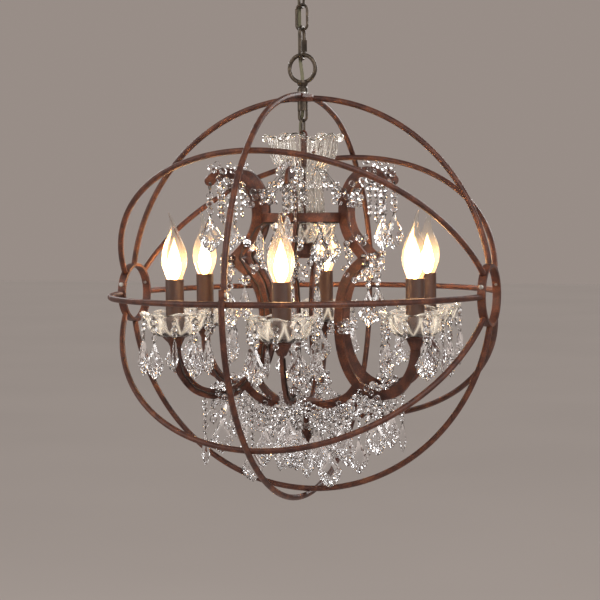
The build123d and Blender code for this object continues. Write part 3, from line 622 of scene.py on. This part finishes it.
def make_saucers():
    """The six saucers as one piece; their cuts and rims carry a painted glint and glow as the bright parts.
    """
    bm, one = bmesh.new(), saucer()
    for angle in ARM_ANGLES:
        lay(bm, one, at(CANDLE_R, angle, 0))
    piece = finished(bm, "glass_saucers", GLINT_PAINTED_CUT_GLASS, "chandelier", ("bobeches",), True)
    # Painted highlight: the cuts glow, and the rims glow at half strength though they hold no cuts.
    rim_from = mm(SAUCER_FOOT + 30.5)
    cut_and_rim_glint = [max(saucer_cuts(v.co.xy.length * 1000, turn_of(v.co)) ** 2, 0.5 * (v.co.z > rim_from))
              for v in one.vertices]
    mark_cut_glints(piece, lambda index, _: cut_and_rim_glint[index % len(cut_and_rim_glint)])


def turned_body(outline, steps):
    """Closed body from an open (r, z) outline that starts and ends on the axis."""
    bm = bmesh.new()
    line = [bm.verts.new(mm(r, 0, z)) for r, z in outline]
    edges = [bm.edges.new(pair) for pair in zip(line, line[1:])]
    bmesh.ops.spin(bm, geom=line + edges, cent=(0, 0, 0), axis=(0, 0, 1), angle=2 * pi, steps=steps,
                   use_merge=True)
    bmesh.ops.remove_doubles(bm, verts=bm.verts, dist=3e-5)
    bmesh.ops.recalc_face_normals(bm, faces=bm.faces)
    return bm


def bulb_shape():
    """Bent-tip candle bulb; the tip leans outwards."""
    outline = [(0.01, 20), (9.2, 21.5), (10.6, 26), (13.4, 33), (16.4, 42), (17.5, 51), (16.8, 61),
               (14.0, 71), (10.2, 80), (7.0, 87), (4.9, 94), (3.4, 101), (2.3, 108), (1.3, 114), (0.01, 116)]
    bend_from, tip, lean = 88, 116, 7.0
    bm = turned_body(outline, 28)
    for v in bm.verts:
        rise = max(0.0, v.co.z * 1000 - bend_from) / (tip - bend_from)
        v.co.x += mm(lean * rise ** 1.8)
    return stock(bm, "bulb")


def heart_shape():
    """Slender flame-shaped body round the filament."""
    outline = [(0.01, 25), (3.4, 26), (5.6, 31), (7.4, 38), (7.8, 44), (6.8, 52), (4.6, 62), (2.2, 72),
               (0.01, 82)]
    return stock(turned_body(outline, 16), "heart")


def make_bulbs():
    bulbs, hearts = bmesh.new(), bmesh.new()
    glass, heart = bulb_shape(), heart_shape()
    for angle in ARM_ANGLES:
        lay(bulbs, glass, at(CANDLE_R, angle, 0))
        lay(hearts, heart, at(CANDLE_R, angle, 0))
    finished(bulbs, "candle_bulbs", BULB, "chandelier", ("bulbs",), True)
    finished(hearts, "bulb_hearts", GLOW, "chandelier", (), True)


make_vase()
make_crown_dish()
make_bottom_dish()
make_saucers()
make_bulbs()


# ---------------------------------------------------------------- crystals
SMALL = stock(cut_bead(4.0, 3.8), "small_octagon")
OCTAGON = stock(cut_bead(5.8, 5.0), "octagon")
BALL = stock(round_bead(5.8), "ball")
SMALL_BALL = stock(round_bead(4.4), "small_ball")
PEAR_DROP = stock(pendant(PEAR, 10), "pear_drop")
SPEAR_DROP = stock(pendant(SPEAR, 7), "spear_drop")
LINK_RING = stock(wire_ring(1.9, 0.4, 10), "link_ring")
WIRE_PIECE = stock(wire_piece(0.4), "wire_piece")


def octagons(count):
    """Beads for a string, each with the pitch it takes up."""
    return [(OCTAGON, 10.4)] * count


def small_beads(count, pitch=8):
    return [(SMALL, pitch)] * count


class Strings:
    """Collects the crystals and the wire of one piece."""

    def __init__(self):
        self.glass, self.wire = bmesh.new(), bmesh.new()

    def hang(self, place, beads, drop=None, turn=0.0, width=1.0):
        """Beads straight down from a place, a ring at each joint, with a pendant at the end."""
        z = 0.0
        for bead, pitch in beads:
            lay(self.wire, LINK_RING, place @ Matrix.Translation((0, 0, mm(z))))
            spin = turning(turn + rng.uniform(-30, 30))
            lay(self.glass, bead, place @ Matrix.Translation((0, 0, mm(z - pitch / 2))) @ spin)
            z -= pitch
        lay(self.wire, LINK_RING, place @ Matrix.Translation((0, 0, mm(z))))
        if drop:
            spin = turning(turn + rng.uniform(-8, 8)) @ Matrix.Scale(width, 4, (1, 0, 0))
            lay(self.glass, drop, place @ Matrix.Translation((0, 0, mm(z - 0.6))) @ spin)

    def swag(self, start, end, sag, bead=SMALL, step=8.0, wired=False):
        """Beads along a hanging curve, each turned a little its own way, with wire between or close up."""
        length = (end - start).length + 1.4 * mm(sag)
        count = 2 * max(2, round(length / mm(2 * step)))
        along = (end - start).xy.to_3d().normalized()
        face = Matrix.Rotation(-turn_of(along), 4, "Z")
        for i in range(count + 1):
            t = i / count
            spot = start.lerp(end, t) - Vector((0, 0, mm(4 * sag * t * (1 - t))))
            turn = Matrix.Rotation(rng.uniform(-0.5, 0.5), 4, "Z")
            lean = Matrix.Rotation(rng.uniform(-0.3, 0.3), 4, "X")
            lay(self.glass, bead, Matrix.Translation(spot) @ face @ turn @ lean)
            if i and wired:
                self.wire_between(last, spot)
            last = spot

    def wire_between(self, start, end):
        """Straight piece of thin wire."""
        way = end - start
        turn = way.to_track_quat("Z", "Y").to_matrix().to_4x4()
        stretch = Matrix.Scale(way.length, 4, (0, 0, 1))
        lay(self.wire, WIRE_PIECE, Matrix.Translation(start) @ turn @ stretch)

    def cluster(self, place, radius, counts):
        """Rings of beads side by side round an arm, octagons and balls mixed."""
        for row, count in enumerate(counts):
            shift = ROW_PITCH * (row - (len(counts) - 1) / 2)
            for k in range(count):
                a = 2 * pi * (k + 0.5 * (row % 2) + 0.25) / count
                reach = radius + rng.uniform(-0.8, 1.6)
                along = shift + rng.uniform(-1, 1)
                spot = place @ Matrix.Translation(mm(along, reach * cos(a), reach * sin(a)))
                bead = rng.choice((BALL, OCTAGON, BALL, SMALL_BALL))
                lay(self.glass, bead, spot @ Matrix.Rotation(rng.uniform(0, pi), 4, (1, 0.4, 0.3)))

    def finish(self, name, body, stands_for):
        """Close the collection: one piece of crystal and, where there is wire, one of wire."""
        finished(self.glass, name, CRYSTAL, body, stands_for)
        if len(self.wire.verts):
            finished(self.wire, name + "_wire", BRONZE, body)


PENDANT_PIN, SPEAR_PIN = (46.5, 0, -26), (44.5, 0, -29)     # on a saucer, from its candle's axis
WRAP_R, LOW_WRAP_R = 12.6, 10.4     # the lower one leaves room for the free pendant's swing
ROW_PITCH = 9.5                     # between two rings of beads round an arm
# Clusters on each arm: radius, level, tilt, radius of the ring, beads in each ring.
WRAPS = [(125, 165.6, 24, WRAP_R, (5, 6)), (71.8, 131, -76, WRAP_R, (6, 6)),
         (85.5, 71.5, 49, LOW_WRAP_R, (6,)), (82, 30.5, -45, WRAP_R, (6,)), (60, -45, 90, WRAP_R, (6, 5)),
         (124, -134.5, 0, WRAP_R, (6, 6, 6)), (108, 167.5, 0, WRAP_R, (5,))]
CUSP_WRAP = (112, 43, 90, 6.5, (6, 6, 5))     # round the string that hangs from the arm's middle
# Garlands from arm to arm: radius, level, inset from each arm, sag, bead, step.
GARLANDS = [(100, -132.5, 3.2, 24, OCTAGON, 11), (112, -140, 4, 40, SMALL, 9.5),
            (62, -150, 4, 20, SMALL, 8.0)]
SCROLL_EYE_R, SCROLL_EYE = 137, 154.6   # the hole at the scroll's tip that carries the free pendant
HOOK_R = 4.3
LONG_CHAINS, LONG_GARLANDS = (0, 3), (1, 4)     # arms whose drops hang out between the hoops


def saucer_crystals():
    """Five pendants and five short strings round each saucer."""
    group = Strings()
    for angle in ARM_ANGLES:
        middle = at(CANDLE_R, angle, 0)
        for k in range(5):
            spot = middle @ turning(36 + 72 * k) @ Matrix.Translation(mm(*PENDANT_PIN)) @ turning(90)
            group.hang(spot, octagons(3), PEAR_DROP)
        for k in range(5):
            spot = middle @ turning(72 * k) @ Matrix.Translation(mm(*SPEAR_PIN))
            beads = small_beads(rng.choice((3, 4)), 7.6)
            group.hang(spot, beads, SPEAR_DROP if k % 2 else None, 90, 0.8)
    group.finish("saucer_crystals", "chandelier", ("bobeche_pendants",))


def arm_wrap(group, angle, wrap):
    r, z, tilt, radius, counts = wrap
    group.cluster(at(r, angle, z) @ turning(tilt, "Y"), radius, counts)


def arm_clusters():
    """Beads tied round each arm where it bends."""
    group = Strings()
    for angle in ARM_ANGLES:
        for wrap in WRAPS:
            arm_wrap(group, angle, wrap)
    group.finish("arm_clusters", "chandelier", ("bead_rosettes",))


def spot_at(r, angle, z):
    return at(r, angle, z).translation


def crown_swags():
    """Wired beads from the vase's neck to each scroll, strings under the scrolls and drops at the crown."""
    group = Strings()
    for angle in ARM_ANGLES:
        for s in (-1, 1):
            neck, scroll = spot_at(30.5, angle + 12 * s, 172), spot_at(96, angle + 8 * s, 152)
            group.swag(neck, scroll, 20, BALL, 24, wired=True)
            group.hang(at(121, angle + 3.5 * s, 151), octagons(1) + small_beads(5 if s > 0 else 4))
        group.hang(at(63, angle + 30, 101), octagons(1), PEAR_DROP, 90)
        group.hang(at(33, angle + 30, 158), [(BALL, 12.6)])
    group.finish("crown_swags", "chandelier", ("bead_swags",))


def low_crystals():
    """Drops and strings under the arms and the hub, and the garlands from arm to arm."""
    group = Strings()
    for k, angle in enumerate(ARM_ANGLES):
        group.hang(at(111, angle, 46), [(BALL, 9)] + small_beads(1) + octagons(2), PEAR_DROP)
        arm_wrap(group, angle, CUSP_WRAP)
        group.hang(at(124, angle, -156), octagons(1), PEAR_DROP)
        if k in LONG_CHAINS:
            group.hang(at(148, angle, -140), small_beads(6), SPEAR_DROP)
            group.hang(at(80, angle, -144.6), small_beads(8), PEAR_DROP, 12)
        else:
            group.hang(at(148, angle, -144), octagons(1), PEAR_DROP, 90)
            group.hang(at(62, angle, -155), small_beads(3), PEAR_DROP, 90)
        for r, z, count in ((107, -142, 4), (136, -143, 3), (70, -150, 3), (50, -156, 4)):
            group.hang(at(r, angle + rng.uniform(-1, 1), z), octagons(count))
        for r, z, inset, sag, bead, step in GARLANDS:
            group.swag(spot_at(r, angle + inset, z), spot_at(r, angle + 60 - inset, z), sag, bead, step)
        between = angle + 30
        group.hang(at(89.3, between, -160.5), small_beads(6 if k in LONG_GARLANDS else 2), PEAR_DROP, 90)
        group.hang(at(22.5, between, -163.5), small_beads(4), PEAR_DROP, 0, 0.74)
        group.hang(at(58, between, -168), small_beads(3), PEAR_DROP, 40, 0.85)
    group.hang(at(0, 0, -210), [], PEAR_DROP, 0, 0.55)
    group.finish("low_crystals", "chandelier", ("lower_pendants",))


def scroll_pendants():
    """The free pendant at each scroll's tip, with its hook."""
    for k, angle in enumerate(ARM_ANGLES):
        group = Strings()
        hook = stock(wire_ring(HOOK_R, 0.8, 20), "hook")
        lay(group.wire, hook, at(SCROLL_EYE_R, angle, SCROLL_EYE - HOOK_R))
        group.hang(at(SCROLL_EYE_R, angle, SCROLL_EYE - 12.2), octagons(3), PEAR_DROP)
        body = "scroll_pendant_%d" % (k + 1)
        group.finish("scroll_crystal_%d" % (k + 1), body, (body,))


saucer_crystals()
arm_clusters()
crown_swags()
low_crystals()
scroll_pendants()


# ---------------------------------------------------------------- stage
BACKDROP = (0.315, 0.268, 0.243)
FLOOR_Z = -1.9


def pale_world():
    """Plain soft light all round; the camera, gloss and glass see the backdrop's colour."""
    world = bpy.data.worlds.new("studio")
    bpy.context.scene.world = world
    world.use_nodes = True
    tree = world.node_tree
    light = tree.nodes["Background"]
    light.inputs["Color"].default_value = (0.80, 0.79, 0.78, 1)
    light.inputs["Strength"].default_value = 0.62
    shown = tree.nodes.new("ShaderNodeBackground")
    shown.inputs["Color"].default_value = (*BACKDROP, 1)
    path = tree.nodes.new("ShaderNodeLightPath")
    seen = path.outputs["Is Camera Ray"]
    for ray in ("Is Glossy Ray", "Is Transmission Ray"):
        either = tree.nodes.new("ShaderNodeMath")
        either.operation = "MAXIMUM"
        tree.links.new(seen, either.inputs[0])
        tree.links.new(path.outputs[ray], either.inputs[1])
        seen = either.outputs[0]
    mix = tree.nodes.new("ShaderNodeMixShader")
    tree.links.new(seen, mix.inputs["Fac"])
    tree.links.new(light.outputs["Background"], mix.inputs[1])
    tree.links.new(shown.outputs["Background"], mix.inputs[2])
    tree.links.new(mix.outputs["Shader"], tree.nodes["World Output"].inputs["Surface"])


def area_light(name, place, size, power, colour=(1, 1, 1)):
    """Square lamp that faces the middle of the orb."""
    lamp = bpy.data.lights.new(name, "AREA")
    lamp.size = size
    lamp.energy = power
    lamp.color = colour
    holder = bpy.data.objects.new(name, lamp)
    bpy.context.scene.collection.objects.link(holder)
    holder.location = place
    holder.rotation_euler = (Vector((0, 0, -DROP)) - Vector(place)).to_track_quat("-Z", "Y").to_euler()


def pale_floor():
    """Plain floor far below the lamp."""
    bm = bmesh.new()
    bmesh.ops.create_grid(bm, x_segments=1, y_segments=1, size=30, matrix=Matrix.Translation((0, 0, FLOOR_Z)))
    made = material("pale_floor")
    soft = noise_at(made, 0.6, 2)
    ramp(made, soft.outputs["Fac"], [(0.3, (0.60, 0.52, 0.475)), (0.7, (0.625, 0.542, 0.495))])
    shader(made).inputs["Roughness"].default_value = 0.9
    floor = finished(bm, "floor", made, None)


pale_world()
pale_floor()
area_light("key", (1.6, -2.2, 1.0), 1.2, 45)
area_light("fill", (-2.2, -1.4, 0.2), 1.6, 22, (1.0, 0.97, 0.93))
area_light("rim", (0.6, 2.4, 0.6), 1.2, 30)
# Small lamps make the sharp glints on the crystals.
for number, place in enumerate([(-1.5, -1.9, 1.2), (1.9, -0.6, -0.2), (-0.4, -2.6, 0.9), (-1.8, 1.4, 0.5)]):
    area_light("small_lamp_%d" % (number + 1), place, 0.22, 7)

bpy.context.scene.view_settings.view_transform = "Standard"
